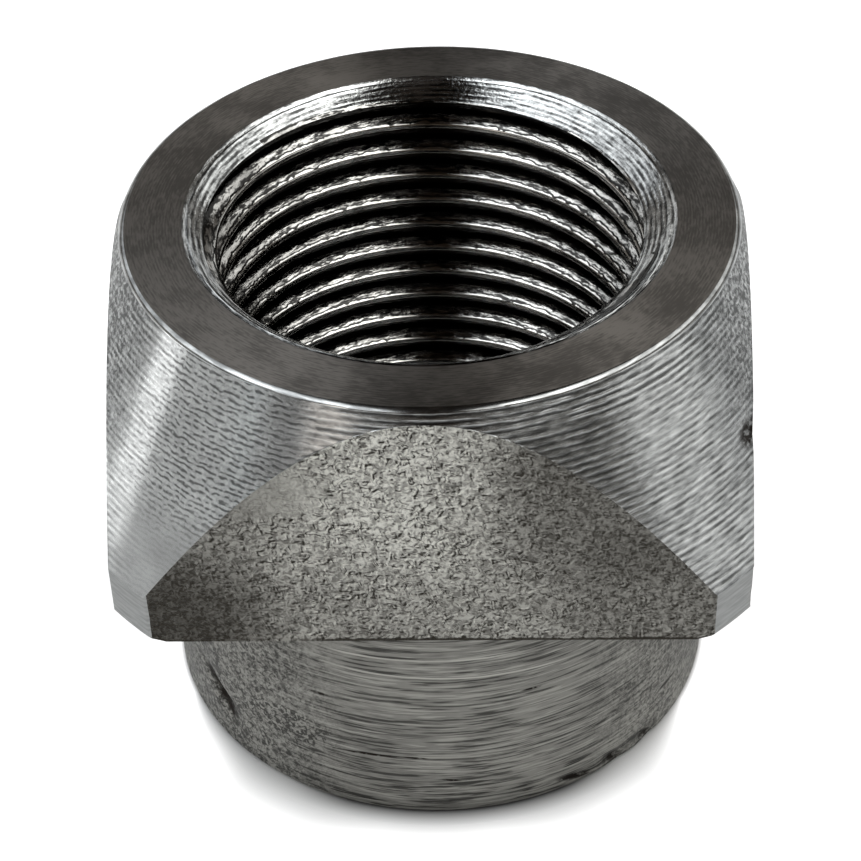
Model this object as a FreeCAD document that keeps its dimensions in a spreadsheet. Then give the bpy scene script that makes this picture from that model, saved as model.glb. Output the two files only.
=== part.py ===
"""Threaded tube insert, turned and bored from one length of square bar.

The square head keeps the bar's flats. Its corners are turned round, and a
cone runs from them up to the flat ring round the bore, so each flat ends in
a hyperbola. Below the head a round spigot goes into the tube, and the bore
goes right through.

Frame: +Z is up along the bore, the flats face X and Y, and the origin is
the centre of the spigot's foot. Lengths are in millimetres.
"""
import FreeCAD, Part
import os

import Sketcher

DOCUMENT_NAME = "threaded_tube_insert"
NODE_NAME = "tube_insert"

# Driving dimensions

SIZES = {
    "square_width": (44.45, "across the flats of the square bar"),
    "corner_diameter": (59.1, "over the turned corners of the head"),
    "ring_diameter": (43.8, "over the flat ring on top"),
    "head_height": (20.5, "from the shoulder to the ring"),
    "corner_band": (4.2, "height of the turned corners below the cone"),
    "spigot_diameter": (41.9, "over the spigot that enters the tube"),
    "spigot_length": (19.7, "from the foot to the shoulder"),
    "bore_diameter": (30.3, "over the crests of the thread"),
    "mouth_width": (2.25, "radial width of the countersink at the ring"),
    "mouth_depth": (1.3, "depth of the countersink at the ring"),
    "foot_width": (1.5, "radial width of the countersink at the foot"),
    "foot_depth": (1.0, "depth of the countersink at the foot"),
    "ring_break": (0.25, "broken edge round the ring"),
    "corner_break": (0.45, "broken edge under the corners"),
    "spigot_break": (0.3, "broken edge round the foot"),
}

# Sizes that follow from them

DERIVED = {
    "overall_height": ("=spigot_length + head_height", "from the foot to the ring"),
    "cone_foot": ("=spigot_length + corner_band", "height where the cone starts"),
    "outside_radius": ("=square_width", "a radius well outside the bar's corners"),
}


def make_sheet(doc):
    """Put every size in a spreadsheet under its own alias."""
    sheet = doc.addObject("Spreadsheet::Sheet", "sizes")
    rows = [(name, str(value), note) for name, (value, note) in SIZES.items()]
    rows += [(name, formula, note) for name, (formula, note) in DERIVED.items()]
    for row, (name, content, note) in enumerate(rows, start=1):
        sheet.set(f"A{row}", name)
        sheet.set(f"B{row}", content)
        sheet.set(f"C{row}", note)
        sheet.setAlias(f"B{row}", name)
    doc.recompute()
    return sheet


def origin_reference(body, role):
    """Give one of the body's own origin planes or axes as a reference."""
    return (next(item for item in body.Origin.OriginFeatures if item.Role == role), [""])


def add_sketch(body, name, plane_role):
    """Start a sketch on one of the body's origin planes."""
    sketch = body.newObject("Sketcher::SketchObject", name)
    sketch.AttachmentSupport = origin_reference(body, plane_role)
    sketch.MapMode = "FlatFace"
    return sketch


def add_distance(sketch, kind, vertex, name, formula):
    """Hold a corner at a named distance from the sketch's origin."""
    index = sketch.addConstraint(Sketcher.Constraint(kind, -1, 1, vertex, 1, 1.0))
    sketch.renameConstraint(index, name)
    sketch.setExpression(f"Constraints.{name}", formula)


def add_half_section(body, name, corners, rough):
    """Draw a closed outline beside the Z axis, each corner (radius, height).

    A corner's radius and height are formulas, and a height of None puts the
    corner on the plane of the foot. rough gives the corners' first places.
    """
    sketch = add_sketch(body, name, "XZ_Plane")
    points = [FreeCAD.Vector(radius, height, 0) for radius, height in rough]
    count = len(points)
    for index, point in enumerate(points):
        sketch.addGeometry(Part.LineSegment(point, points[(index + 1) % count]), False)
    for index in range(count):
        sketch.addConstraint(Sketcher.Constraint("Coincident", index, 2, (index + 1) % count, 1))
    for index, (radius, height) in enumerate(corners):
        if radius is None:
            sketch.addConstraint(Sketcher.Constraint("PointOnObject", index, 1, -2))
        else:
            add_distance(sketch, "DistanceX", index, f"radius_{index}", radius)
        if height is None:
            sketch.addConstraint(Sketcher.Constraint("PointOnObject", index, 1, -1))
        else:
            add_distance(sketch, "DistanceY", index, f"height_{index}", height)
    return sketch


def add_groove(body, name, sketch):
    """Turn a half section away, all round the Z axis."""
    groove = body.newObject("PartDesign::Groove", name)
    groove.Profile = sketch
    groove.ReferenceAxis = origin_reference(body, "Z_Axis")
    groove.Angle = 360.0
    return groove


def add_bar(body):
    """Saw a length of square bar, centred on the Z axis."""
    sketch = add_sketch(body, "bar_section", "XY_Plane")
    half = SIZES["square_width"][0] / 2
    corners = [(-half, -half), (half, -half), (half, half), (-half, half)]
    points = [FreeCAD.Vector(x, y, 0) for x, y in corners]
    for index, point in enumerate(points):
        sketch.addGeometry(Part.LineSegment(point, points[(index + 1) % 4]), False)
    for index in range(4):
        sketch.addConstraint(Sketcher.Constraint("Coincident", index, 2, (index + 1) % 4, 1))
    sketch.addConstraint(Sketcher.Constraint("Horizontal", 0))
    sketch.addConstraint(Sketcher.Constraint("Vertical", 1))
    sketch.addConstraint(Sketcher.Constraint("Horizontal", 2))
    sketch.addConstraint(Sketcher.Constraint("Vertical", 3))
    sketch.addConstraint(Sketcher.Constraint("Equal", 0, 1))
    sketch.addConstraint(Sketcher.Constraint("Symmetric", 0, 1, 1, 2, -1, 1))
    index = sketch.addConstraint(Sketcher.Constraint("DistanceX", 0, 1, 0, 2, 2 * half))
    sketch.renameConstraint(index, "width")
    sketch.setExpression("Constraints.width", "sizes.square_width")
    bar = body.newObject("PartDesign::Pad", "bar")
    bar.Profile = sketch
    bar.setExpression("Length", "sizes.overall_height")
    return bar


def turn_head(body):
    """Turn the corners round, cone them up to the ring and break both edges."""
    ring = "sizes.ring_diameter / 2"
    corner = "sizes.corner_diameter / 2"
    top = "sizes.overall_height"
    shoulder = "sizes.spigot_length"
    corners = [
        (f"{ring} - sizes.ring_break", top),
        (ring, f"{top} - sizes.ring_break"),
        (corner, "sizes.cone_foot"),
        (corner, f"{shoulder} + sizes.corner_break"),
        (f"{corner} - sizes.corner_break", shoulder),
        ("sizes.outside_radius", shoulder),
        ("sizes.outside_radius", top),
    ]
    rough = [(21, 40), (22, 39), (29, 24), (29, 21), (28, 20), (44, 20), (44, 40)]
    return add_groove(body, "turned_head", add_half_section(body, "head_outline", corners, rough))


def turn_spigot(body):
    """Turn the lower end down to the spigot, square to the shoulder."""
    spigot = "sizes.spigot_diameter / 2"
    shoulder = "sizes.spigot_length"
    corners = [
        (f"{spigot} - sizes.spigot_break", None),
        ("sizes.outside_radius", None),
        ("sizes.outside_radius", shoulder),
        (spigot, shoulder),
        (spigot, "sizes.spigot_break"),
    ]
    rough = [(20, 0), (44, 0), (44, 19), (21, 19), (21, 1)]
    return add_groove(body, "turned_spigot", add_half_section(body, "spigot_outline", corners, rough))


def bore_through(body):
    """Bore the crests' diameter right through and countersink both ends."""
    bore = "sizes.bore_diameter / 2"
    top = "sizes.overall_height"
    corners = [
        (None, None),
        (f"{bore} + sizes.foot_width", None),
        (bore, "sizes.foot_depth"),
        (bore, f"{top} - sizes.mouth_depth"),
        (f"{bore} + sizes.mouth_width", top),
        (None, top),
    ]
    rough = [(0, 0), (16, 0), (15, 1), (15, 39), (17, 40), (0, 40)]
    return add_groove(body, "bore", add_half_section(body, "bore_outline", corners, rough))


def make_insert(doc):
    """Build the insert, one step of the work after another."""
    body = doc.addObject("PartDesign::Body", NODE_NAME)
    body.Label = NODE_NAME
    body.Placement = FreeCAD.Placement()
    volume = None
    for step in (add_bar, turn_head, turn_spigot, bore_through):
        feature = step(body)
        doc.recompute()
        left = feature.Shape.Volume
        if volume is not None and not left < volume:
            raise RuntimeError(f"{feature.Name} takes nothing away")
        volume = left
    return body


def check(doc, body):
    """Stop if any object failed or the solid isn't sound."""
    for item in doc.Objects:
        if "Invalid" in item.State or "Error" in item.State:
            raise RuntimeError(f"{item.Label} failed: {item.State}")
    shape = body.Shape
    if shape.isNull() or not shape.isValid() or len(shape.Solids) != 1:
        raise RuntimeError(f"{body.Label} isn't one sound solid")


doc = FreeCAD.newDocument(DOCUMENT_NAME)
make_sheet(doc)
insert = make_insert(doc)
doc.recompute()
check(doc, insert)
os.makedirs("parts", exist_ok=True)
insert.Shape.exportStep(os.path.join("parts", f"{insert.Label}.step"))
print(insert.Label, "volume", round(insert.Shape.Volume, 1), "box", insert.Shape.BoundBox)
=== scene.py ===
"""Looks of the threaded tube insert: square head with turned corners, spigot and threaded bore.

The steel is one closed surface worked out from the sizes below, all in metres in the CAD frame: +Z along
the bore, the spigot's foot at z = 0 and the flats of the head facing X and Y.
"""

import math

import bmesh
import bpy
import numpy as np
from mathutils import Matrix, Vector


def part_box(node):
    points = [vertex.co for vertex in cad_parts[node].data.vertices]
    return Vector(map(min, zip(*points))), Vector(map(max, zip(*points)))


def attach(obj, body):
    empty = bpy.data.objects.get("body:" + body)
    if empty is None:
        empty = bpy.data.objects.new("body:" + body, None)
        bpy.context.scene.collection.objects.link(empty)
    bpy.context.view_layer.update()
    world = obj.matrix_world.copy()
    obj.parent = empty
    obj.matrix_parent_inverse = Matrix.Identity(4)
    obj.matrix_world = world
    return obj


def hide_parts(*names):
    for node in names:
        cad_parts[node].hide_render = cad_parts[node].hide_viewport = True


bl_info = {
    "name": "Threaded tube insert",
    "version": (1, 0, 0),
    "blender": (4, 5, 0),
    "location": "3D View > Sidebar > Insert",
    "description": "Builds a square-headed steel tube insert with a threaded bore",
    "category": "Add Mesh",
}

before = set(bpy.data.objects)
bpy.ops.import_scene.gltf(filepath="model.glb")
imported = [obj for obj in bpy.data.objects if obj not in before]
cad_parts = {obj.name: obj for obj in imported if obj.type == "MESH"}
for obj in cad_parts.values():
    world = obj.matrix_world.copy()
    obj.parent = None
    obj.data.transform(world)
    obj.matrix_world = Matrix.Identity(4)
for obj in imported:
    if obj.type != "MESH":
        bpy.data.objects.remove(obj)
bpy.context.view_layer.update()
NODE = "tube_insert"
NODE_LOW, NODE_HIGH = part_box(NODE)

MM = 0.001
TURN = 2 * math.pi

# Zones of the surface, each with a finish of its own
ZONES = ("faced_ring", "broken_edge", "turned_cone", "turned_band", "bar_skin", "faced_underside",
         "turned_spigot", "sawn_foot", "countersink", "cut_thread")

# The spigot's radius, on which the painted shade in the dents is laid out too
SPIGOT_RADIUS = 20.95 * MM

# Points nearer than the first are merged, and edges shorter than the second are dissolved
MERGE_DISTANCE = 4e-7
SHORTEST_EDGE = 1e-7

# Depth below the ring of the circle where the thread's rows end
THREAD_END_DEPTH = 0.40 * MM

# Extra columns of points through the dents near the foot: from, to and step in degrees
DENT_COLUMNS = ((211.3, 223.5, 1.25), (296.4, 324.0, 2.5))

# Colour of the painted shade in the dents
DENT_SHADE_COLOUR = (0.022, 0.018, 0.015)


# Sizes and colours

def length(name, description, default):
    """A length that a user may set, in metres."""
    return bpy.props.FloatProperty(name=name, description=description, default=default, min=0.0, precision=5,
                                   unit="LENGTH", subtype="DISTANCE")


def colour(name, description, default):
    """A linear colour that a user may set."""
    return bpy.props.FloatVectorProperty(name=name, description=description, default=default, size=3, min=0.0,
                                         max=1.0, subtype="COLOR")


def amount(name, description, default, high=1.0):
    """A plain number that a user may set."""
    return bpy.props.FloatProperty(name=name, description=description, default=default, min=0.0, max=high)


class InsertForm(bpy.types.PropertyGroup):
    """Sizes of the head, the spigot and the plain bore."""

    square_width: length("Square width", "Width across the flats", NODE_HIGH.x - NODE_LOW.x)
    overall_height: length("Overall height", "From the foot to the ring", NODE_HIGH.z - NODE_LOW.z)
    corner_radius: length("Corner radius", "Radius that the corners are turned to", 29.55 * MM)
    corner_band: length("Corner band", "Height of the turned corners from the shoulder to the cone", 4.2 * MM)
    corner_break: length("Corner break", "Chamfer under the turned corners", 0.45 * MM)
    ring_radius: length("Ring radius", "Outer radius of the ring where the cone starts", 21.9 * MM)
    ring_break: length("Ring break", "Drop from the ring to where the cone starts", 0.25 * MM)
    edge_radius: length("Edge radius", "Radius of the round edge between the ring and the cone", 0.438 * MM)
    spigot_radius: length("Spigot radius", "Radius of the spigot", SPIGOT_RADIUS)
    spigot_length: length("Spigot length", "From the foot to the shoulder", 19.7 * MM)
    spigot_break: length("Spigot break", "Chamfer round the spigot's foot", 0.3 * MM)
    mouth_radius: length("Mouth radius", "Radius of the countersink at the ring", 17.4 * MM)
    mouth_depth: length("Mouth depth", "Depth of the countersink at the ring", 1.3 * MM)
    lip_width: length("Lip width", "Width of the rolled lip round the mouth", 0.36 * MM)
    lip_depth: length("Lip depth", "Depth of the rolled lip round the mouth", 0.22 * MM)
    foot_radius: length("Foot radius", "Radius of the countersink at the foot", 16.65 * MM)
    foot_depth: length("Foot depth", "Depth of the countersink at the foot", 1.0 * MM)


class ThreadForm(bpy.types.PropertyGroup):
    """Sizes of the right-hand internal thread."""

    pitch: length("Pitch", "Distance from one crest to the next, 11 turns to the inch", 25.4 / 11 * MM)
    crest_radius: length("Crest radius", "Radius of the bore at the thread's crests", 15.15 * MM)
    root_radius: length("Root radius", "Radius at the bottom of the grooves", 16.63 * MM)
    rounding: length("Rounding", "Radius of the round crests and roots", 0.317 * MM)
    crest_height: length("Crest height", "Height of one crest on the side that faces +X", 36.56 * MM)
    burr: length("Burr", "How far the torn edges of the crests wander", 0.012 * MM)
    torn_rise: length("Torn rise", "How far the torn steel beside a crest stands off the flank", 0.070 * MM)


class SteelFinish(bpy.types.PropertyGroup):
    """Colours of the steel as it is machined and as it comes from the mill."""

    turned: colour("Turned steel", "Bare steel from the lathe", (0.52, 0.53, 0.53))
    ring: colour("Faced ring", "Steel of the faced ring", (0.215, 0.20, 0.185))
    skin: colour("Bar skin", "Lighter part of the bar's skin", (0.92, 0.91, 0.85))
    skin_pits: colour("Skin pits", "Pits and scale in the bar's skin", (0.055, 0.05, 0.042))
    spigot: colour("Spigot steel", "Steel of the spigot, dulled by handling", (0.36, 0.355, 0.33))
    thread: colour("Thread steel", "Steel of the cut thread", (0.56, 0.55, 0.53))
    turning_feed: length("Turning feed", "Distance between the tool's marks on the cones", 0.44 * MM)


class StudioSet(bpy.types.PropertyGroup):
    """The floor and the soft boxes, where a level of 1 is white."""

    floor: colour("Floor", "Colour of the floor", (0.62, 0.62, 0.62))
    floor_glow: amount("Floor glow", "Share of plain white that the floor shows to the camera", 0.86)
    floor_shine: amount("Floor shine", "Share of plain white that the floor shows in the steel", 0.22)
    box_level: amount("Box level", "Brightness of the soft boxes towards their edges", 0.70, 10.0)
    strip_level: amount("Strip level", "Brightness of the low strip on the left", 1.45, 10.0)
    box_heart: amount("Box heart", "Brightness added in the middle of the soft boxes", 1.4, 10.0)


# Noise from sine waves

def ripple(points, wavelength, seed, waves=24):
    """A smooth random surface through space: the mean of sine waves in random directions and phases, whose
    lengths lie round the one given, scaled to a spread of one. Points is an array of N by 3."""
    random = np.random.default_rng(seed)
    direction = random.normal(size=(waves, 3))
    direction /= np.linalg.norm(direction, axis=1, keepdims=True)
    number = TURN / (wavelength * random.uniform(0.7, 1.5, size=(waves, 1)))
    phase = random.uniform(0, TURN, size=waves)
    total = np.zeros(len(points))
    for vector, start in zip(direction * number, phase):
        total += np.sin(points @ vector + start)
    return total / math.sqrt(waves / 2)


# The surface of the insert

def column_angles(form):
    """Angles of the columns of points round the axis. Each flat runs to its edges at acos(half width over
    corner radius) either side of its middle, and each turned corner fills the rest. A narrow column lies
    each side of each edge, and extra columns go through the dents in the spigot."""
    on_flat, on_corner, narrow = 55, 6, 0.13 * MM
    half_flat = math.acos(form.square_width / 2 / form.corner_radius)
    edge = narrow / form.corner_radius
    flat = np.concatenate([[-half_flat], np.linspace(-half_flat + edge, half_flat - edge, on_flat)])
    next_flat = TURN / 4 - half_flat
    corner = np.concatenate([[half_flat], np.linspace(half_flat + edge, next_flat - edge, on_corner)])
    quarter = np.concatenate([flat, corner])
    angles = np.concatenate([quarter + turn * TURN / 4 for turn in range(4)])
    extra = np.radians(np.concatenate([np.arange(*run) for run in DENT_COLUMNS]))
    return np.sort(np.concatenate([angles, extra]) % TURN)


def steps(count, edge=0.0):
    """Shares from 0 to 1 in equal steps, with a narrow step of the given share at each end."""
    inner = np.linspace(edge, 1 - edge, count + 1)
    return inner if edge == 0 else np.concatenate([[0.0], inner, [1.0]])


def outside_rows(form, thread, angles):
    """Radius, height and zone of the rows from the countersink over the ring, the cone, the flats and the
    corners, the underside and the spigot to the foot's inner edge. In each column the section is straight
    between its corners: the cone ends where its radius reaches the flat, at half the width over the cosine
    of the angle from the flat's middle, which draws a hyperbola on each flat. The flats run softly into the
    turned corners by the logarithm of two exponentials added up."""
    full = np.ones_like(angles)
    inner_height, inner_radius = helix_top(form, thread)
    off_flat = (angles + TURN / 8) % (TURN / 4) - TURN / 8
    to_flat = form.square_width / 2 / np.cos(off_flat)
    rounding = 0.035 * MM
    side = -rounding * np.logaddexp(-to_flat / rounding, -form.corner_radius / rounding)
    on_corner = to_flat > form.corner_radius
    top = form.overall_height
    ring_foot = top - form.ring_break
    cone_foot = form.spigot_length + form.corner_band
    slope = (form.corner_radius - form.ring_radius) / (ring_foot - cone_foot)
    cone_end = ring_foot - (side - form.ring_radius) / slope
    broken = form.corner_radius - form.corner_break
    side_foot = form.spigot_length + np.maximum(side - broken, 0)
    cone_tilt = math.atan(slope)
    edge_turn = [(math.cos(tilt) - math.cos(cone_tilt), math.sin(tilt) - math.sin(cone_tilt))
                 for tilt in np.linspace(TURN / 4, cone_tilt, 5)]
    corners = [
        (inner_radius, inner_height),
        (form.mouth_radius - 1.1 * form.lip_width, top - 0.85 * form.lip_depth),
        (form.mouth_radius - 0.6 * form.lip_width, top - form.lip_depth),
        (form.mouth_radius + 0.1 * form.lip_width, top),
        *[(form.ring_radius + form.edge_radius * outward, ring_foot + form.edge_radius * up)
          for outward, up in edge_turn],
        (side, cone_end),
        (side, side_foot),
        (np.minimum(side, broken), form.spigot_length),
        (form.spigot_radius, form.spigot_length),
        (form.spigot_radius, form.spigot_break),
        (form.spigot_radius - form.spigot_break, 0),
        (form.foot_radius, 0),
    ]
    runs = [
        *[(steps(1), "countersink")] * 3, (steps(5, 0.04), "faced_ring"),
        *[(steps(1), "broken_edge")] * 4, (steps(20, 0.008), "turned_cone"),
        (steps(20, 0.008), "bar_skin"), (steps(1), "turned_band"), (steps(4, 0.02), "faced_underside"),
        (steps(38, 0.006), "turned_spigot"), (steps(2), "turned_spigot"), (steps(3, 0.03), "sawn_foot"),
    ]
    radius, height, zone = [inner_radius * full], [inner_height * full], []
    for (start, end), (shares, name) in zip(zip(corners, corners[1:]), runs):
        for share in shares[1:]:
            radius.append((start[0] + share * (end[0] - start[0])) * full)
            height.append((start[1] + share * (end[1] - start[1])) * full)
            zone.append(np.full(len(angles), ZONES.index(name)))
            if name == "bar_skin":
                zone[-1][on_corner | np.roll(on_corner, -1) & on_corner] = ZONES.index("turned_band")
    return np.array(radius), np.array(height), np.array(zone)


def countersunk(form, crest_radius, height):
    """Radius of the two countersinks at each height: straight cones that open towards the ends."""
    top = form.overall_height
    return np.interp(
        height,
        [0, form.foot_depth, top - form.mouth_depth, top],
        [form.foot_radius, crest_radius, crest_radius, form.mouth_radius])


def helix_top(form, thread):
    """Height and radius of the circle in the mouth that lies clear above the thread's grooves."""
    height = form.overall_height - THREAD_END_DEPTH
    return height, float(countersunk(form, thread.crest_radius, height))


def thread_section(thread):
    """Offsets along the axis and radii of one pitch of thread, from the lower side of a crest up: a round
    crest, a straight flank at 27.5 degrees from level, a round root and the flank below the next crest. On
    the crest the offset is the rounding times the sine of the surface's tilt, and the radius grows by the
    rounding times one minus its cosine. At each share of the flank, torn steel lifts the surface a little."""
    tilt = np.radians([-62.5, -30, 0, 25, 45, 62.5])
    crest = (thread.rounding * np.sin(tilt), thread.crest_radius + thread.rounding * (1 - np.cos(tilt)))
    low, root = crest[1][-1], thread.root_radius - thread.rounding * (1 - math.cos(tilt[-1]))
    root_offset = thread.pitch / 2 - thread.rounding * math.sin(tilt[-1])
    share, torn_up = np.array([0.12, 0.37, 0.88, 1.0]), np.array([0.32, 1.0, 0.18, 0.0])
    flank = (crest[0][-1] + share * (root_offset - crest[0][-1]) + torn_up * thread.torn_rise,
             low + share * (root - low))
    below = ([thread.pitch - root_offset], [root])
    bottom = ([thread.pitch / 2], [thread.root_radius])
    return np.concatenate([crest, flank, bottom, below], axis=1)


def with_crossings(form, crest_radius, radius, height, rows):
    """The rows with one more after each of the named rows, at the point where the thread's section crosses
    the countersink, or at the lower row where it doesn't cross."""
    clear = radius - countersunk(form, crest_radius, height)
    low, high = clear[rows], clear[rows + 1]
    span = np.where(low * high < 0, low - high, np.inf)
    share = np.clip(low / span, 0, 1)
    new_radius = radius[rows] + share * (radius[rows + 1] - radius[rows])
    new_height = height[rows] + share * (height[rows + 1] - height[rows])
    return np.insert(radius, rows + 1, new_radius, axis=0), np.insert(height, rows + 1, new_height, axis=0)


def bore_rows(form, thread, angles):
    """Radius, height and zone of the rows of the threaded bore. Each row follows the helix: its height rises
    by one pitch for each turn, so the last column of a row meets the first column of the row one pitch up.
    The countersinks cut the thread, and rows past the ends fold onto the end circles."""
    offsets, radii = thread_section(thread)
    turns = np.arange(math.floor(-thread.crest_height / thread.pitch) - 2,
                      math.ceil((form.overall_height - thread.crest_height) / thread.pitch) + 2)
    start = (turns[:, None] * thread.pitch + offsets[None, :]).ravel() + thread.crest_height
    height = start[:, None] + thread.pitch * angles[None, :] / TURN
    radius = np.tile(radii, len(turns))[:, None] + 0 * height
    top, top_radius = helix_top(form, thread)
    keep = (height.max(1) > -thread.pitch) & (height.min(1) < top + thread.pitch)
    height, radius = height[keep], radius[keep]
    lowest, highest = height[:-1].min(1), height[1:].max(1)
    near_end = (lowest < form.foot_depth) | (highest > form.overall_height - form.mouth_depth)
    radius, height = with_crossings(form, thread.crest_radius, radius, height, np.flatnonzero(near_end))
    limit = countersunk(form, thread.crest_radius, height)
    cut = radius <= limit + 1e-9
    radius = np.maximum(radius, limit)
    radius = np.where(height > top, top_radius, np.where(height < 0, form.foot_radius, radius))
    height = np.clip(height, 0, top)
    all_cut = cut[:-1, :-1] & cut[1:, :-1] & cut[:-1, 1:] & cut[1:, 1:]
    zone = np.where(all_cut, ZONES.index("countersink"), ZONES.index("cut_thread"))
    return radius, height, zone


def grid_faces(rows, columns, first=0, closed=False):
    """Corner indices of the quads of a grid whose points are numbered row by row, with its right-hand side
    joined to its left where it is closed."""
    across = columns if closed else columns - 1
    row, column = np.meshgrid(np.arange(rows - 1), np.arange(across), indexing="ij")
    beside = (column + 1) % columns
    quads = np.stack([row * columns + column, (row + 1) * columns + column,
                      (row + 1) * columns + beside, row * columns + beside], axis=-1)
    return quads.reshape(-1, 4) + first


def around(radius, height, angles):
    """Points at these radii and heights, one column for each angle."""
    return np.stack([radius * np.cos(angles), radius * np.sin(angles), height], axis=-1).reshape(-1, 3)


def build_mesh(name, points, faces, zone):
    """A mesh of these quads with the doubles merged, so that seams and folded rows close up."""
    mesh = bpy.data.meshes.new(name)
    mesh.vertices.add(len(points))
    mesh.vertices.foreach_set("co", points.astype(np.float32).ravel())
    mesh.loops.add(faces.size)
    mesh.loops.foreach_set("vertex_index", faces.astype(np.int32).ravel())
    mesh.polygons.add(len(faces))
    mesh.polygons.foreach_set("loop_start", np.arange(0, faces.size, 4, dtype=np.int32))
    mesh.polygons.foreach_set("material_index", zone.astype(np.int32))
    mesh.update(calc_edges=True)
    merged = bmesh.new()
    merged.from_mesh(mesh)
    bmesh.ops.remove_doubles(merged, verts=merged.verts, dist=MERGE_DISTANCE)
    bmesh.ops.dissolve_degenerate(merged, edges=merged.edges, dist=SHORTEST_EDGE)
    open_edges = [edge for edge in merged.edges if len(edge.link_faces) != 2]
    if open_edges:
        raise RuntimeError(f"the surface of {name} has {len(open_edges)} open edges")
    if merged.calc_volume(signed=True) < 0:
        raise RuntimeError(f"the surface of {name} is inside out")
    merged.to_mesh(mesh)
    merged.free()
    return mesh


# Dents and unevenness

# Dents of the outside: angle and tilt in degrees, height, half length, half width and depth in millimetres
HEAD_DENTS = (
    (-32.3, 0, 31.3, 1.25, 1.00, 0.12),
)
SPIGOT_DENTS = (
    (-144.6, -48, 5.3, 1.7, 0.60, 0.28),
    (-142.2, -20, 4.3, 1.2, 0.85, 0.34),
    (-139.3, -52, 3.7, 1.2, 0.80, 0.28),
    (-41.0, -25, 0.8, 1.0, 0.45, 0.28),
    (-51.0, -20, 0.9, 1.1, 0.50, 0.32),
    (-60.5, -12, 0.9, 1.6, 0.40, 0.22),
    (-33.5, 0, 4.0, 1.6, 0.22, 0.14),
    (-103.5, 3, 5.9, 2.6, 0.13, 0.04),
    (-94.0, -3, 6.0, 1.1, 0.12, 0.04),
    (-113.5, 0, 11.2, 0.9, 0.15, 0.04),
    (-87.0, -10, 3.6, 0.8, 0.13, 0.04),
    (-70.4, 0, 12.15, 0.8, 0.12, 0.04),
)


def dent_depths(points):
    """Depth of the dents at each point: a hill of Gauss for each, turned by its tilt on the surface as it is
    rolled out round the axis."""
    angle = np.arctan2(points[:, 1], points[:, 0])
    across = np.hypot(points[:, 0], points[:, 1])
    total = np.zeros(len(points))
    for middle, tilt, height, half_length, half_width, depth in SPIGOT_DENTS + HEAD_DENTS:
        turn = (angle - math.radians(middle) + TURN / 2) % TURN - TURN / 2
        along, up = turn * across / MM, points[:, 2] / MM - height
        cosine, sine = math.cos(math.radians(tilt)), math.sin(math.radians(tilt))
        first = (along * cosine + up * sine) / half_length
        second = (up * cosine - along * sine) / half_width
        total += depth * MM * np.exp(-first ** 2 - second ** 2)
    return total


def wear_inward(form, points, zone_of_point):
    """How far each point of the outside lies below the true surface: slow waves, finer ones over them on the
    bar's skin and the spigot, each as deep in millimetres as its zone's pair says, and a few dents."""
    slow = np.clip(0.5 + 0.3 * ripple(points, 7 * MM, 3), 0, 1)
    quick = np.clip(0.5 + 0.3 * ripple(points, 1.6 * MM, 4), 0, 1)
    depth = {"bar_skin": (0.05, 0.035), "turned_spigot": (0.025, 0.02), "turned_cone": (0.012, 0.0),
             "turned_band": (0.01, 0.0)}
    inward = np.zeros(len(points))
    for name, (broad, fine) in depth.items():
        here = zone_of_point == ZONES.index(name)
        inward[here] = (broad * slow[here] + fine * quick[here]) * MM
    outer = np.hypot(points[:, 0], points[:, 1]) > form.spigot_radius - 2 * form.spigot_break
    return inward + np.where(outer, dent_depths(points), 0)


def surface_of_insert(form, thread):
    """Points, quads and zones of the whole insert: the closed outside and the threaded bore."""
    angles = column_angles(form)
    radius, height, zone = outside_rows(form, thread, angles)
    outside = around(radius, height, angles)
    row_zone = np.concatenate([zone[:1], zone])
    inner_zone = np.minimum(row_zone[:-1], row_zone[1:])
    point_zone = np.where(row_zone[:-1] == row_zone[1:], inner_zone, -1)
    point_zone = np.concatenate([point_zone, np.full((1, len(angles)), -1)])
    inward = wear_inward(form, outside, point_zone.ravel())
    across = np.hypot(outside[:, 0], outside[:, 1])
    outside[:, :2] *= (1 - inward / across)[:, None]
    closing = np.append(angles, angles[0] + TURN)
    bore_radius, bore_height, bore_zone = bore_rows(form, thread, closing)
    bore = around(bore_radius, bore_height, closing)
    crest_depth = 0.12 * MM
    from_crest = np.hypot(bore[:, 0], bore[:, 1]) - thread.crest_radius
    torn = ripple(bore, 0.9 * MM, 11) * np.clip(1 - from_crest / crest_depth, 0, 1)
    inside = (bore[:, 2] > form.foot_depth) & (bore[:, 2] < form.overall_height - form.mouth_depth)
    bore[:, 2] += np.where(inside, thread.burr * torn, 0)
    outer_faces = grid_faces(len(radius), len(angles), closed=True)
    bore_faces = grid_faces(len(bore_radius), len(closing), first=len(outside))
    points = np.concatenate([outside, bore])
    faces = np.concatenate([outer_faces, bore_faces])
    return points, faces, np.concatenate([zone.ravel(), bore_zone.ravel()])


# Finishes

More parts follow.
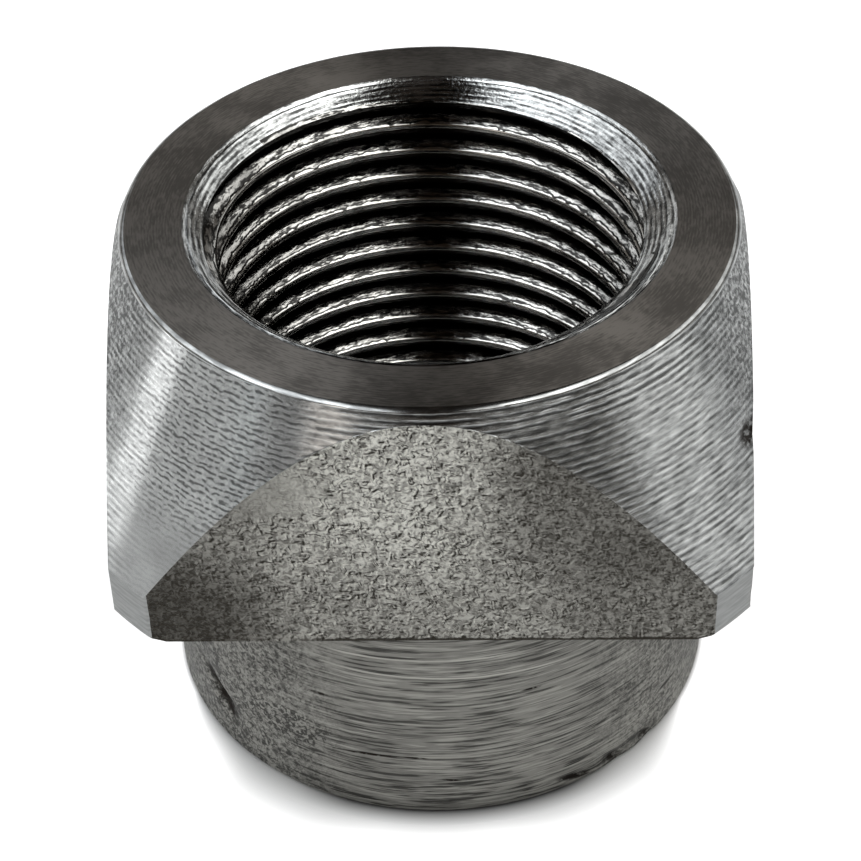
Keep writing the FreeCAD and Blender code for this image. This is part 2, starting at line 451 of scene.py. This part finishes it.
class Nodes:
    """Short names for adding nodes to a tree and joining them."""

    def __init__(self, tree):
        self.tree = tree

    def add(self, kind, settings=None, **inputs):
        """A node with its settings made and its inputs set or joined."""
        node = self.tree.nodes.new(kind)
        for key, value in (settings or {}).items():
            setattr(node, key, value)
        for key, value in inputs.items():
            self.feed(node.inputs[key.replace("_", " ")], value)
        return node

    def feed(self, socket, value):
        """Joins a socket to a node's output or gives it a value."""
        if isinstance(value, bpy.types.NodeSocket):
            self.tree.links.new(value, socket)
        else:
            socket.default_value = value

    def math(self, operation, first, second=0.0, clamp=False):
        """One sum of two numbers."""
        node = self.tree.nodes.new("ShaderNodeMath")
        node.operation = operation
        node.use_clamp = clamp
        self.feed(node.inputs[0], first)
        self.feed(node.inputs[1], second)
        return node.outputs[0]

    def total(self, *values):
        """The sum of several numbers."""
        result = values[0]
        for value in values[1:]:
            result = self.math("ADD", result, value)
        return result

    def times(self, *values):
        """The product of several numbers."""
        result = values[0]
        for value in values[1:]:
            result = self.math("MULTIPLY", result, value)
        return result

    def weigh(self, *terms):
        """The sum of several products, each given by its factors."""
        return self.total(*[self.times(*factors) for factors in terms])

    def rest(self, value):
        """What is left of 1."""
        return self.math("SUBTRACT", 1.0, value)

    def centred(self, value):
        """A number from 0 to 1 moved to lie round 0."""
        return self.total(value, -0.5)

    def offset(self, value, middle, reach):
        """How far a value lies from the middle, as a share of the reach."""
        return self.times(self.total(value, -middle), 1 / reach)

    def square_sum(self, first, second):
        """The sum of two squares."""
        return self.total(self.times(first, first), self.times(second, second))

    def round_axis(self, parts):
        """Distance from the axis, and bearing from the front to the right in radians."""
        away = self.math("SQRT", self.square_sum(parts["X"], parts["Y"]))
        return away, self.math("ARCTAN2", parts["X"], self.times(parts["Y"], -1.0))

    def range(self, value, low, high, to_low=0.0, to_high=1.0, smooth=False):
        """The value carried from one range to another and held there."""
        node = self.tree.nodes.new("ShaderNodeMapRange")
        node.interpolation_type = "SMOOTHSTEP" if smooth else "LINEAR"
        for index, item in enumerate((value, low, high, to_low, to_high)):
            self.feed(node.inputs[index], item)
        return node.outputs[0]

    def window(self, value, low, high, soft):
        """1 between two values and 0 outside them, with soft edges this wide."""
        rise = self.range(value, low - soft / 2, low + soft / 2, smooth=True)
        fall = self.range(value, high - soft / 2, high + soft / 2, 1.0, 0.0, smooth=True)
        return self.times(rise, fall)

    def blend(self, share, first, second):
        """Two colours mixed by a share."""
        node = self.tree.nodes.new("ShaderNodeMix")
        node.data_type = "RGBA"
        self.feed(node.inputs[0], share)
        for index, item in ((6, first), (7, second)):
            self.feed(node.inputs[index], item if isinstance(item, bpy.types.NodeSocket) else (*item, 1.0))
        return node.outputs[2]


class Finish(Nodes):
    """One material and the short names of the nodes that it is made of."""

    def __init__(self, name):
        self.material = bpy.data.materials.new(name)
        self.material.use_nodes = True
        super().__init__(self.material.node_tree)
        self.shader = self.tree.nodes["Principled BSDF"]
        self.place = self.add("ShaderNodeTexCoord").outputs["Object"]
        self.parts = self.add("ShaderNodeSeparateXYZ", Vector=self.place).outputs
        self.height = self.parts["Z"]
        self.radius, self.bearing = self.round_axis(self.parts)
        self.off_front = self.math("ABSOLUTE", self.bearing)

    def noise(self, size, place=None, detail=3.0, roughness=0.55, distortion=0.0):
        """Soft noise whose features are about this size, from 0 to 1."""
        node = self.add("ShaderNodeTexNoise", Vector=place or self.place, Scale=1 / size, Detail=detail,
                        Roughness=roughness, Distortion=distortion)
        return node.outputs["Fac"]

    def streaky(self, across, reach, width, detail=2.0, roughness=0.55):
        """Soft noise drawn out this far round the axis and this wide along the number across."""
        place = self.add("ShaderNodeCombineXYZ", X=self.math("DIVIDE", self.parts["X"], reach),
                         Y=self.math("DIVIDE", self.parts["Y"], reach), Z=self.math("DIVIDE", across, width))
        return self.noise(1.0, place.outputs["Vector"], detail=detail, roughness=roughness)

    def ridges(self, across, feed, wander):
        """The tool's feed marks: a sine wave across the surface whose phase wanders and whose height comes
        and goes, from -1 to 1."""
        drift = self.times(self.streaky(across, 3 * MM, 0.9 * MM, detail=3.0), wander)
        wave = self.math("SINE", self.total(self.times(across, TURN / feed), drift))
        broken = self.streaky(across, 2.2 * MM, 0.5 * MM)
        return self.times(wave, self.range(broken, 0.35, 0.6, 0.25, 1.0))

    def near(self, bearing, height, half_round, half_high):
        """1 at a place on the outside, given by its bearing from the front in degrees and its height in
        millimetres, falling softly to 0 at these distances round and up, in degrees and millimetres."""
        round_share = self.offset(self.bearing, math.radians(bearing), math.radians(half_round))
        high_share = self.offset(self.height, height * MM, half_high * MM)
        away = self.square_sum(round_share, high_share)
        return self.range(away, 0.0, 1.0, 1.0, 0.0, smooth=True)

    def worms(self, size, half_width, shift=(0.0, 0.0, 0.0)):
        """1 on thin winding lines about this far apart, where a soft noise crosses its middle."""
        place = self.add("ShaderNodeVectorMath", {"operation": "ADD"})
        self.feed(place.inputs[0], self.place)
        self.feed(place.inputs[1], shift)
        level = self.noise(size, place.outputs[0], detail=1.0, distortion=1.4)
        off_middle = self.math("ABSOLUTE", self.centred(level))
        return self.range(off_middle, 0.25 * half_width, half_width, 1.0, 0.0, smooth=True)

    def painted_dent_shade(self, steel, dents):
        """The steel's colour with painted shade in these dents: dark blots that thin out past the dents'
        rims.
        """
        total = 0.0
        for angle, tilt, height, half_length, half_width, _ in dents:
            along = self.times(self.total(self.bearing, -math.radians(angle + 90)), SPIGOT_RADIUS / MM)
            up = self.total(self.times(self.height, 1 / MM), -height)
            cosine, sine = math.cos(math.radians(tilt)), math.sin(math.radians(tilt))
            first = self.times(self.weigh((along, cosine), (up, sine)), 1 / half_length)
            second = self.times(self.weigh((up, cosine), (along, -sine)), 1 / half_width)
            away = self.square_sum(first, second)
            total = self.math("MAXIMUM", total, self.range(away, 0.2, 1.3, 1.0, 0.0, smooth=True))
        # Painted shade: dark blots in the dents
        blots = self.range(self.noise(0.45 * MM, detail=2.0), 0.36, 0.50, 0.35, 1.0)
        return self.blend(self.times(total, blots), steel, DENT_SHADE_COLOUR)

    def metal(self, base, roughness, height, depth, anisotropy=0.0):
        """The material as metal of this colour, with tiny heights as a change of the surface's slope, and the
        shine of circular marks where anisotropy is above zero."""
        bump = self.add("ShaderNodeBump", Height=height, Distance=depth, Strength=1.0)
        settings = {"Base Color": base, "Metallic": 1.0, "Roughness": roughness, "Anisotropic": anisotropy,
                    "Normal": bump.outputs["Normal"]}
        if anisotropy > 0:
            tangent = self.add("ShaderNodeTangent", {"direction_type": "RADIAL", "axis": "Z"})
            settings.update({"Anisotropic Rotation": 0.25, "Tangent": tangent.outputs["Tangent"]})
        for name, value in settings.items():
            self.feed(self.shader.inputs[name], value)
        return self.material


def shade(rgb, factor):
    """A colour made lighter or darker."""
    return tuple(min(1.0, channel * factor) for channel in rgb)


def turned_finish(name, base, feed, across_name, depth=0.006 * MM, roughness=0.32, anisotropy=0.7, wander=5.0,
                  streak=(1.8 * MM, 0.2 * MM), crumbs=0.0, lines=0.07, mottle=0.0, dark=0.66, light=1.16):
    """Steel from the lathe: broken feed marks round the axis, streaks along them and slow stains. The colour
    runs between the base times dark and the base times light. Lines says how much the marks colour it, and
    mottle how much the stains do on top of their plain share. Where crumbs is above zero, the sides facing X
    are rougher and grainy instead."""
    finish = Finish(name)
    across = getattr(finish, across_name)
    side = finish.times(finish.range(finish.off_front, 1.0, 1.35, smooth=True), crumbs)
    plain = finish.rest(side)
    marks = finish.ridges(across, feed, wander)
    streaks = finish.streaky(across, *streak, roughness=0.6)
    grain = finish.noise(0.30 * MM, detail=2.0, roughness=0.6)
    stains = finish.noise(5 * MM, detail=4.0)
    height = finish.weigh((marks, 0.5, plain), (streaks, 2.2, plain), (grain, 2.6, side))
    tone = finish.weigh((streaks, 0.75, plain), (grain, 0.75, side), (marks, lines, plain), (stains, 0.25),
                        (finish.centred(stains), mottle))
    steel = finish.blend(finish.range(tone, 0.38, 0.62), shade(base, dark), shade(base, light))
    uneven = finish.range(stains, 0.3, 0.7, roughness - 0.04, roughness + 0.06)
    return finish.metal(steel, uneven, height, depth, anisotropy)


def cone_finish(name, base, feed):
    """The turned cones: level lines at the front, to the right and behind, short broken dashes to the left
    that smooth out downwards and turn to faint lines further left, and crumbly grain at the sides. The sides
    and a stretch to the front right are darkened by painted shade. The dashes are a sine wave up the cone
    whose phase jitters, cut into pieces by a finer noise."""
    dash_rows = 0.37 * MM
    finish = Finish(name)
    side = finish.window(finish.off_front, 1.08, 1.75, 0.5)
    # Painted shade: the colour is darker at both sides and on a stretch to the front right
    darker = finish.weigh((finish.window(finish.off_front, 1.02, 1.75, 0.16), 0.17),
                          (finish.window(finish.bearing, 0.13, 0.50, 0.16), 0.15))
    left = finish.window(finish.bearing, -1.15, -0.34, 0.3)
    far_left = finish.range(finish.bearing, -0.95, -0.72, 1.0, 0.0, smooth=True)
    dashed = finish.times(left, finish.range(far_left, 0.0, 1.0, 1.0, 0.25),
                          finish.range(finish.height, 27.5 * MM, 32 * MM, 0.12, 1.0, smooth=True))
    lined = finish.total(finish.rest(finish.math("MAXIMUM", side, left)), finish.times(left, far_left, 0.55))
    deeper_above = finish.range(finish.height, 37 * MM, 39 * MM, 1.0, 1.7)
    marks = finish.times(finish.ridges(finish.height, feed, 3.0), deeper_above)
    streaks = finish.centred(finish.streaky(finish.height, 1.1 * MM, 0.24 * MM))
    jitter = finish.streaky(finish.height, 0.9 * MM, 0.7 * MM, detail=1.0)
    broken = finish.streaky(finish.height, 0.40 * MM, 0.30 * MM, detail=0.0)
    phase = finish.weigh((finish.height, TURN / dash_rows), (jitter, 8.0))
    dashes = finish.range(finish.math("SINE", phase), -0.9, 0.3, 1.0, 0.0)
    dashes = finish.times(dashes, finish.range(broken, 0.36, 0.50, 0.20, 1.0))
    dashes = finish.total(0.27, finish.times(dashes, -1.0))
    grain = finish.centred(finish.noise(0.34 * MM, detail=2.0, distortion=0.7))
    stains = finish.noise(5 * MM, detail=4.0)
    tone = finish.weigh((0.44,), (marks, 0.34, lined), (streaks, 1.3, lined), (dashes, 0.60, dashed),
                        (grain, 3.2, side), (grain, 0.8, dashed), (finish.centred(stains), 0.7),
                        (darker, -1.0))
    height = finish.weigh((marks, 0.50, lined), (streaks, 1.0, lined), (dashes, 0.35, dashed),
                          (grain, 2.2, side))
    steel = finish.blend(finish.range(tone, 0.0, 1.0), shade(base, 0.26), shade(base, 1.65))
    return finish.metal(finish.painted_dent_shade(steel, HEAD_DENTS), finish.range(stains, 0.3, 0.7, 0.20, 0.26), height,
                        0.020 * MM, 0.8)


def spigot_finish(name, base):
    """The turned spigot: fine level lines at the front and behind, mottled, crumbly sides, the left one most,
    darker cuts near the foot, a cluster of dark pits on the left and two painted highlights, bright arcs
    below the shoulder."""
    finish = Finish(name)
    mottled = finish.total(finish.range(finish.bearing, -0.74, -0.22, 1.0, 0.0, smooth=True),
                           finish.range(finish.bearing, 0.45, 0.95, 0.0, 0.7, smooth=True))
    mottled = finish.times(mottled, finish.range(finish.off_front, 1.5, 2.2, 1.0, 0.35))
    plain = finish.rest(mottled)
    lines = finish.streaky(finish.height, 4.5 * MM, 0.20 * MM, roughness=0.6)
    cuts = finish.streaky(finish.height, 4 * MM, 0.34 * MM)
    crumbs = finish.noise(0.42 * MM, detail=2.0, roughness=0.62, distortion=0.8)
    worms = finish.worms(0.9 * MM, 0.06)
    stains = finish.noise(3.5 * MM, detail=4.0)
    low = finish.range(finish.height, 3.0 * MM, 9.0 * MM, 1.0, 0.35, smooth=True)
    cut = finish.times(finish.range(cuts, 0.56, 0.66), low, finish.range(mottled, 0.0, 1.0, 1.0, 0.4))
    # Painted highlights: two bright arcs on the spigot below the shoulder
    upper = finish.times(finish.window(finish.height, 16.17 * MM, 16.32 * MM, 0.06 * MM),
                         finish.window(finish.bearing, -0.34, 0.24, 0.2))
    slope = finish.total(finish.height, finish.times(finish.bearing, 0.66 * MM))
    lower = finish.times(finish.window(slope, 14.42 * MM, 14.56 * MM, 0.06 * MM),
                         finish.window(finish.bearing, -0.32, 0.45, 0.2))
    painted_highlight_arcs = finish.total(upper, lower)
    height = finish.weigh((lines, 0.9, plain), (crumbs, 1.3, mottled), (cut, -1.2), (stains, 0.5))
    lined = finish.total(finish.range(lines, 0.38, 0.47, 0.05, 0.62),
                         finish.range(lines, 0.57, 0.64, 0.0, 0.55))
    mottle = finish.total(finish.range(crumbs, 0.38, 0.62, 0.08, 1.05), finish.times(worms, -0.45))
    cluster = finish.times(finish.near(-31, 6.6, 12, 1.9), finish.range(crumbs, 0.42, 0.49, 1.0, 0.0))
    tone = finish.weigh((lined, plain), (mottle, mottled), (finish.centred(stains), 0.8), (cut, -0.8),
                        (painted_highlight_arcs, 0.6), (cluster, -0.9))
    steel = finish.blend(finish.range(tone, 0.0, 1.0), shade(base, 0.22), shade(base, 1.25))
    steel = finish.blend(finish.times(painted_highlight_arcs, 0.5), steel, shade(base, 2.0))
    return finish.metal(finish.painted_dent_shade(steel, SPIGOT_DENTS), finish.range(stains, 0.3, 0.7, 0.36, 0.46), height,
                        0.022 * MM, 0.5)


# Lighter and darker areas of the bar's skin, partly stains and partly painted light and shade: bearing in
# degrees, height, reach round and up, and the change
SKIN_STAINS_AND_SHADE = (
    (-8, 36, 28, 16, 0.72),
    (27, 34, 24, 11, -0.55),
    (-24, 32.5, 15, 6, -0.34),
    (-45, 21, 26, 12, -0.97),
    (40, 23, 24, 9, -0.46),
)


def skin_finish(name, base, pits):
    """The bar's rolled skin: crumbly grain with worm-like dark marks, partly pits and partly painted shade,
    each with a painted highlight along one rim, broad lighter and darker areas, partly stains and partly
    painted light and shade, a smoother patch at the upper left and a dark line of painted shade along the
    lower edge."""
    finish = Finish(name)
    grain = finish.noise(0.50 * MM, detail=2.0, roughness=0.55, distortion=0.5)
    fine = finish.noise(0.40 * MM, detail=2.0, distortion=0.9)
    broad = finish.noise(8 * MM, detail=3.0)
    rough = finish.rest(finish.times(finish.near(-26, 33.6, 12, 3.4), 0.70))
    broken = finish.times(finish.range(grain, 0.44, 0.56, 1.0, 0.15), rough)
    # Dark worm marks, partly pits and partly painted shade, and a painted highlight beside each, shifted to
    # one side
    line = finish.times(finish.worms(0.80 * MM, 0.095), broken)
    painted_highlight_rim = finish.times(finish.worms(0.80 * MM, 0.08, (0.13 * MM, 0.0, -0.13 * MM)), broken)
    # Broad areas, partly stains and partly painted light and shade
    areas = finish.weigh((1.0,), *[(finish.near(*area[:4]), area[4]) for area in SKIN_STAINS_AND_SHADE])
    speckle = finish.times(finish.range(fine, 0.40, 0.60, -0.25, 0.25), rough)
    tone = finish.weigh((0.69,), (speckle,), (painted_highlight_rim, 0.38), (line, -0.68))
    tone = finish.times(tone, finish.range(broad, 0.35, 0.62, 0.8, 1.0), areas, 0.60)
    tone = finish.weigh((tone,), (speckle, 0.17), (painted_highlight_rim, 0.05))
    # Painted shade: a dark ragged line along the flat's lower edge, above the spigot
    ragged = finish.total(finish.height, finish.times(finish.centred(grain), 0.5 * MM))
    painted_shade_line = finish.times(finish.range(ragged, 19.86 * MM, 19.95 * MM, 1.0, 0.0),
                         finish.window(finish.bearing, -0.36, 0.76, 0.12))
    tone = finish.times(tone, finish.range(painted_shade_line, 0.0, 1.0, 1.0, 0.05))
    skin = finish.blend(finish.range(tone, 0.0, 1.0), pits, base)
    height = finish.weigh((grain,), (fine, 0.9), (line, -0.25))
    return finish.metal(finish.painted_dent_shade(skin, HEAD_DENTS), finish.range(grain, 0.35, 0.6, 0.50, 0.38), height,
                        0.17 * MM)


def thread_finish(name, base, crest_radius):
    """The cut thread: a painted highlight on each crest, a dark line of painted shade beside it, a band of
    steel torn into strings along the tool's path and made lighter by painted light, and painted shade, near
    black, in the groove behind."""
    finish = Finish(name)
    strings = finish.streaky(finish.height, 1.1 * MM, 0.18 * MM, detail=3.0, roughness=0.65)
    edge = finish.streaky(finish.height, 0.8 * MM, 0.8 * MM, detail=3.0)
    blots = finish.noise(1.8 * MM, detail=4.0)
    # Painted light and shade by depth from the crest: highlight on the crest, dark line, lighter band, black
    # groove
    depth = finish.total(finish.radius, -crest_radius, finish.times(finish.centred(edge), 0.5 * MM))
    crest = finish.range(depth, 0.15 * MM, 0.19 * MM, 1.0, 0.0)
    band = finish.times(finish.window(depth, 0.29 * MM, 0.80 * MM, 0.08 * MM),
                        finish.range(strings, 0.42, 0.54))
    tone = finish.weigh((crest, finish.range(blots, 0.36, 0.46, 0.5, 1.0)),
                        (band, finish.range(blots, 0.35, 0.62, 0.40, 0.92)))
    steel = finish.blend(finish.range(tone, 0.0, 1.0), shade(base, 0.07), shade(base, 1.5))
    height = finish.times(strings, finish.range(depth, 0.15 * MM, 0.30 * MM))
    return finish.metal(steel, finish.range(blots, 0.3, 0.7, 0.07, 0.12), height, 0.030 * MM)


def zone_finishes(steel, thread):
    """The finishes in the order of the zones."""
    feed = steel.turning_feed
    return [
        turned_finish("faced_ring", steel.ring, 0.21 * MM, "radius", depth=0.003 * MM, roughness=0.40,
                      anisotropy=0.85, streak=(0.8 * MM, 0.16 * MM), mottle=0.6, dark=0.80, light=1.32),
        turned_finish("broken_edge", steel.turned, feed, "height", depth=0.002 * MM, roughness=0.16,
                      anisotropy=0.3, light=1.6),
        cone_finish("turned_cone", steel.turned, feed),
        turned_finish("turned_band", steel.turned, feed, "height", depth=0.002 * MM, roughness=0.40,
                      anisotropy=0.4, dark=0.73, light=0.98),
        skin_finish("bar_skin", steel.skin, steel.skin_pits),
        turned_finish("faced_underside", steel.spigot, 0.25 * MM, "radius", roughness=0.4, anisotropy=0.4),
        spigot_finish("turned_spigot", steel.spigot),
        turned_finish("sawn_foot", steel.spigot, 0.25 * MM, "radius", roughness=0.4, anisotropy=0.4),
        turned_finish("countersink", steel.turned, 0.36 * MM, "radius", depth=0.016 * MM, roughness=0.14,
                      anisotropy=0.7, wander=3.0, streak=(1.4 * MM, 0.18 * MM), crumbs=0.3, lines=0.16,
                      dark=0.14, light=1.85),
        thread_finish("cut_thread", steel.thread, thread.crest_radius),
    ]


# The stage

CAMERA_PLACE = Vector((4.971, -138.772, 139.366)) * MM
CAMERA_FORWARD = Vector((-0.0293, 0.75691, -0.65286))
CAMERA_ROLL = math.radians(1.8487)
CAMERA_LENS = 100.863

# A painted contact shadow round the spigot's foot. Distance from the axis where the floor's glow starts, and
# the
# width over which it then rises to full: at the front, how much it is wider to the left and to the right of
# that, and how much it is narrower at the sides
SHADE_START = 20.8 * MM
SHADE_WIDTH = 2.6 * MM
SHADE_WIDER_LEFT = 1.2 * MM
SHADE_WIDER_RIGHT = 0.9 * MM
SHADE_NARROWER = -2.2 * MM


def add_camera(scene):
    """The camera at the photograph's angle: its place, its line of sight and a small roll about that line."""
    camera = bpy.data.objects.new("camera", bpy.data.cameras.new("camera"))
    scene.collection.objects.link(camera)
    camera.data.sensor_width = 36.0
    camera.data.lens = CAMERA_LENS
    camera.data.clip_start = 0.01
    turn = CAMERA_FORWARD.to_track_quat("-Z", "Y").to_matrix()
    turn = turn @ Matrix.Rotation(-CAMERA_ROLL, 3, "Z")
    camera.matrix_world = Matrix.Translation(CAMERA_PLACE) @ turn.to_4x4()
    scene.camera = camera


def add_floor(scene, studio):
    """A round floor whose far side sweeps up through a quarter circle into a low wall. The wall's height
    depends on the direction: it is full behind and to the left and runs out to nothing at the front and the
    right, by a smooth step of the cosine of the angle from the middle of the wall."""
    floor_radius, bend, wall_top = 1.0, 0.16, 0.28
    wall_middle = math.radians(120)
    level = np.concatenate([[0.0], np.geomspace(0.03, floor_radius, 22)])
    sweep = np.linspace(0, TURN / 4, 9)[1:]
    radius = np.concatenate([level, floor_radius + bend * np.sin(sweep), [floor_radius + bend]])
    rise = np.concatenate([0 * level, bend * (1 - np.cos(sweep)), [wall_top]])
    angles = np.linspace(0, TURN, 96, endpoint=False)
    share = np.clip((np.cos(angles - wall_middle) + 0.25) / 0.35, 0, 1)
    share = share * share * (3 - 2 * share)
    height = rise[:, None] * share[None, :]
    points = around(radius[:, None] + 0 * height, height, angles)
    faces = grid_faces(len(radius), len(angles), closed=True)
    mesh = bpy.data.meshes.new("floor")
    mesh.from_pydata(points.tolist(), [], faces.tolist())
    merged = bmesh.new()
    merged.from_mesh(mesh)
    bmesh.ops.remove_doubles(merged, verts=merged.verts, dist=1e-6)
    bmesh.ops.recalc_face_normals(merged, faces=merged.faces)
    merged.to_mesh(mesh)
    merged.free()
    mesh.shade_smooth()
    floor = bpy.data.objects.new("floor", mesh)
    scene.collection.objects.link(floor)
    mesh.materials.append(floor_finish(studio))


def floor_finish(studio):
    """Pale matt floor. It glows so that it shows white, less in the steel than to the camera. The glow fades
    near the spigot's foot as a painted contact shadow, and the paint is darkened close to it as painted
    shadow too; the lamps' own shadow also falls on the paint."""
    material = bpy.data.materials.new("floor")
    material.use_nodes = True
    nodes = Nodes(material.node_tree)
    nodes.tree.nodes.clear()
    ray = nodes.add("ShaderNodeLightPath").outputs
    shine = nodes.math("MAXIMUM", ray["Is Glossy Ray"], ray["Is Transmission Ray"])
    level = nodes.weigh((ray["Is Camera Ray"], studio.floor_glow), (shine, studio.floor_shine))
    place = nodes.add("ShaderNodeTexCoord").outputs["Object"]
    away, bearing = nodes.round_axis(nodes.add("ShaderNodeSeparateXYZ", Vector=place).outputs)
    # Painted shadow: the paint turns dark under and near the spigot's foot, at the front
    under = nodes.times(nodes.range(away, SHADE_START - 0.4 * MM, SHADE_START + 1.5 * MM, 1.0, 0.0),
                        nodes.window(bearing, -0.45, 0.60, 0.3))
    paint = nodes.add("ShaderNodeBsdfDiffuse",
                      Color=nodes.blend(under, tuple(studio.floor), shade(studio.floor, 0.05)))
    # Painted contact shadow: the glow that makes the floor white fades towards the foot across this reach
    reach = nodes.total(SHADE_WIDTH,
                        nodes.times(nodes.window(bearing, -0.75, -0.30, 0.3), SHADE_WIDER_LEFT),
                        nodes.times(nodes.window(bearing, 0.30, 0.9, 0.3), SHADE_WIDER_RIGHT),
                        nodes.range(bearing, -1.15, -0.70, SHADE_NARROWER, 0.0),
                        nodes.range(bearing, 0.75, 1.1, 0.0, SHADE_NARROWER))
    lit = nodes.math("DIVIDE", nodes.total(away, -SHADE_START), reach, clamp=True)
    lit = nodes.math("POWER", lit, 1.2)
    glow = nodes.add("ShaderNodeEmission", Strength=nodes.times(level, lit))
    both = nodes.add("ShaderNodeAddShader")
    nodes.feed(both.inputs[0], paint.outputs[0])
    nodes.feed(both.inputs[1], glow.outputs[0])
    nodes.add("ShaderNodeOutputMaterial", Surface=both.outputs[0])
    return material


def add_strip(scene, studio):
    """A narrow lamp that stands on the floor to the left and draws a bright line down the cone. Its power is
    pi times area times brightness."""
    width, tall = 0.036, 0.060
    lamp = bpy.data.lights.new("strip_left", "AREA")
    lamp.shape = "RECTANGLE"
    lamp.size, lamp.size_y = width, tall
    lamp.energy = math.pi * width * tall * studio.strip_level
    strip = bpy.data.objects.new("strip_left", lamp)
    scene.collection.objects.link(strip)
    strip.location = (-0.200, -0.006, tall / 2)
    strip.rotation_euler = Vector((-1.0, 0.1, 0.0)).to_track_quat("Z", "Y").to_euler()
    strip.visible_camera = False


# Areas of the room near the horizon: bearings from the front and elevations in degrees, softness and colour
ROOM_AREAS = (
    (-20, 62, -8, 90, 9, (0.050, 0.040, 0.030)),
    (20, 62, -8, 20, 9, (0.125, 0.115, 0.10)),
    (-38, -24, -8, 16, 6, (1.15, 1.05, 0.96)),
    (-50, -40, -8, 24, 5, (0.15, 0.145, 0.14)),
    (-88, -56, -8, 14, 7, (0.62, 0.73, 0.76)),
    (64, 92, -8, 14, 7, (0.95, 0.95, 0.92)),
)

# The soft boxes on a level ceiling: left and right edge and middle of each across, and its colour
SOFT_BOXES = (
    (-1.42, -0.26, -0.5, (0.97, 1.0, 1.02)),
    (0.31, 1.35, 0.55, (1.2, 1.2, 1.17)),
)

# Colours of the plain room near the horizon and higher up, and of the gap between the boxes
ROOM_LOW = (0.33, 0.33, 0.32)
ROOM_HIGH = (0.11, 0.10, 0.09)
BOX_GAP = (0.008, 0.005, 0.003)


def set_air(scene, studio):
    """The room by direction. Two wide soft boxes hang over the insert, left and right of a dark gap above the
    camera's line of sight, and the room below them is dim and brownish, with paler areas near the horizon.
    A box is a window in the direction's X and Y over Z, which are the places on a level ceiling, and its
    heart is brighter by a hill of Gauss."""
    world = bpy.data.worlds.new("studio")
    scene.world = world
    world.use_nodes = True
    nodes = Nodes(world.node_tree)
    nodes.tree.nodes.clear()
    direction = nodes.add("ShaderNodeTexCoord").outputs["Generated"]
    way = nodes.add("ShaderNodeSeparateXYZ", Vector=direction).outputs
    rise = nodes.math("MAXIMUM", way["Z"], 0.02)
    across, along = nodes.math("DIVIDE", way["X"], rise), nodes.math("DIVIDE", way["Y"], rise)
    bearing = nodes.times(nodes.math("ARCTAN2", way["X"], nodes.times(way["Y"], -1.0)), 360 / TURN)
    elevation = nodes.times(nodes.math("ARCSINE", way["Z"]), 360 / TURN)
    room = nodes.blend(nodes.range(elevation, 8.0, 24.0), ROOM_LOW, ROOM_HIGH)
    for left, right, low, high, soft, tint in ROOM_AREAS:
        share = nodes.times(nodes.window(bearing, left, right, soft),
                            nodes.window(elevation, low, high, soft))
        room = nodes.blend(share, room, tint)
    gap = nodes.window(across, -0.30, 0.30, 0.1)
    room = nodes.blend(nodes.times(gap, nodes.range(elevation, 18.0, 34.0)), room, BOX_GAP)
    deep = nodes.window(along, -1.3, 1.55, 0.3)
    heart_along = nodes.times(nodes.total(along, 0.35), 1.3)
    for left, right, middle, tint in SOFT_BOXES:
        side = nodes.window(across, left, right, 0.16)
        heart_across = nodes.times(nodes.total(across, -middle), 1.4)
        from_heart = nodes.square_sum(heart_across, heart_along)
        heart = nodes.math("EXPONENT", nodes.times(from_heart, -1.0))
        level = nodes.total(studio.box_level, nodes.times(heart, studio.box_heart))
        lit = nodes.add("ShaderNodeVectorMath", {"operation": "SCALE"}, Scale=level)
        nodes.feed(lit.inputs[0], tint)
        room = nodes.blend(nodes.times(side, deep), room, lit.outputs[0])
    back = nodes.add("ShaderNodeBackground", Color=room)
    nodes.add("ShaderNodeOutputWorld", Surface=back.outputs[0])


# Operators

class BuildInsert(bpy.types.Operator):
    """Builds the steel insert with its thread and its finishes"""

    bl_idname = "insert.build_steel"
    bl_label = "Build the insert"

    def execute(self, context):
        scene = context.scene
        form, thread = scene.insert_form, scene.insert_thread
        points, faces, zone = surface_of_insert(form, thread)
        mesh = build_mesh("insert", points, faces, zone)
        for material in zone_finishes(scene.insert_steel, thread):
            mesh.materials.append(material)
        mesh.shade_smooth()
        mesh.set_sharp_from_angle(angle=math.radians(38))
        piece = bpy.data.objects.new("insert", mesh)
        scene.collection.objects.link(piece)
        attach(piece, "root")
        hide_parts(NODE)
        return {"FINISHED"}


class SetStage(bpy.types.Operator):
    """Sets the floor, the lamps, the room and the camera"""

    bl_idname = "insert.set_stage"
    bl_label = "Set the stage"

    def execute(self, context):
        scene = context.scene
        studio = scene.insert_studio
        add_floor(scene, studio)
        add_strip(scene, studio)
        set_air(scene, studio)
        add_camera(scene)
        scene.view_settings.view_transform = "Standard"
        return {"FINISHED"}


class InsertPanel(bpy.types.Panel):
    """Lists the steps that build the insert and its stage"""

    bl_idname = "VIEW3D_PT_insert"
    bl_label = "Threaded tube insert"
    bl_space_type = "VIEW_3D"
    bl_region_type = "UI"
    bl_category = "Insert"

    def draw(self, context):
        for group in (context.scene.insert_form, context.scene.insert_thread, context.scene.insert_steel,
                      context.scene.insert_studio):
            for key in group.__annotations__:
                self.layout.prop(group, key)
        self.layout.operator(BuildInsert.bl_idname)
        self.layout.operator(SetStage.bl_idname)


CLASSES = (InsertForm, ThreadForm, SteelFinish, StudioSet, BuildInsert, SetStage, InsertPanel)
GROUPS = {"insert_form": InsertForm, "insert_thread": ThreadForm, "insert_steel": SteelFinish,
          "insert_studio": StudioSet}


def register():
    """Registers the classes and gives the scene its groups of sizes and colours."""
    for item in CLASSES:
        bpy.utils.register_class(item)
    for name, group in GROUPS.items():
        setattr(bpy.types.Scene, name, bpy.props.PointerProperty(type=group))


def unregister():
    """Takes the groups and the classes away again."""
    for name in GROUPS:
        delattr(bpy.types.Scene, name)
    for item in reversed(CLASSES):
        bpy.utils.unregister_class(item)


def main():
    """Registers the classes, builds the insert and sets the stage."""
    register()
    bpy.ops.insert.build_steel()
    bpy.ops.insert.set_stage()


if __name__ == "__main__":
    main()
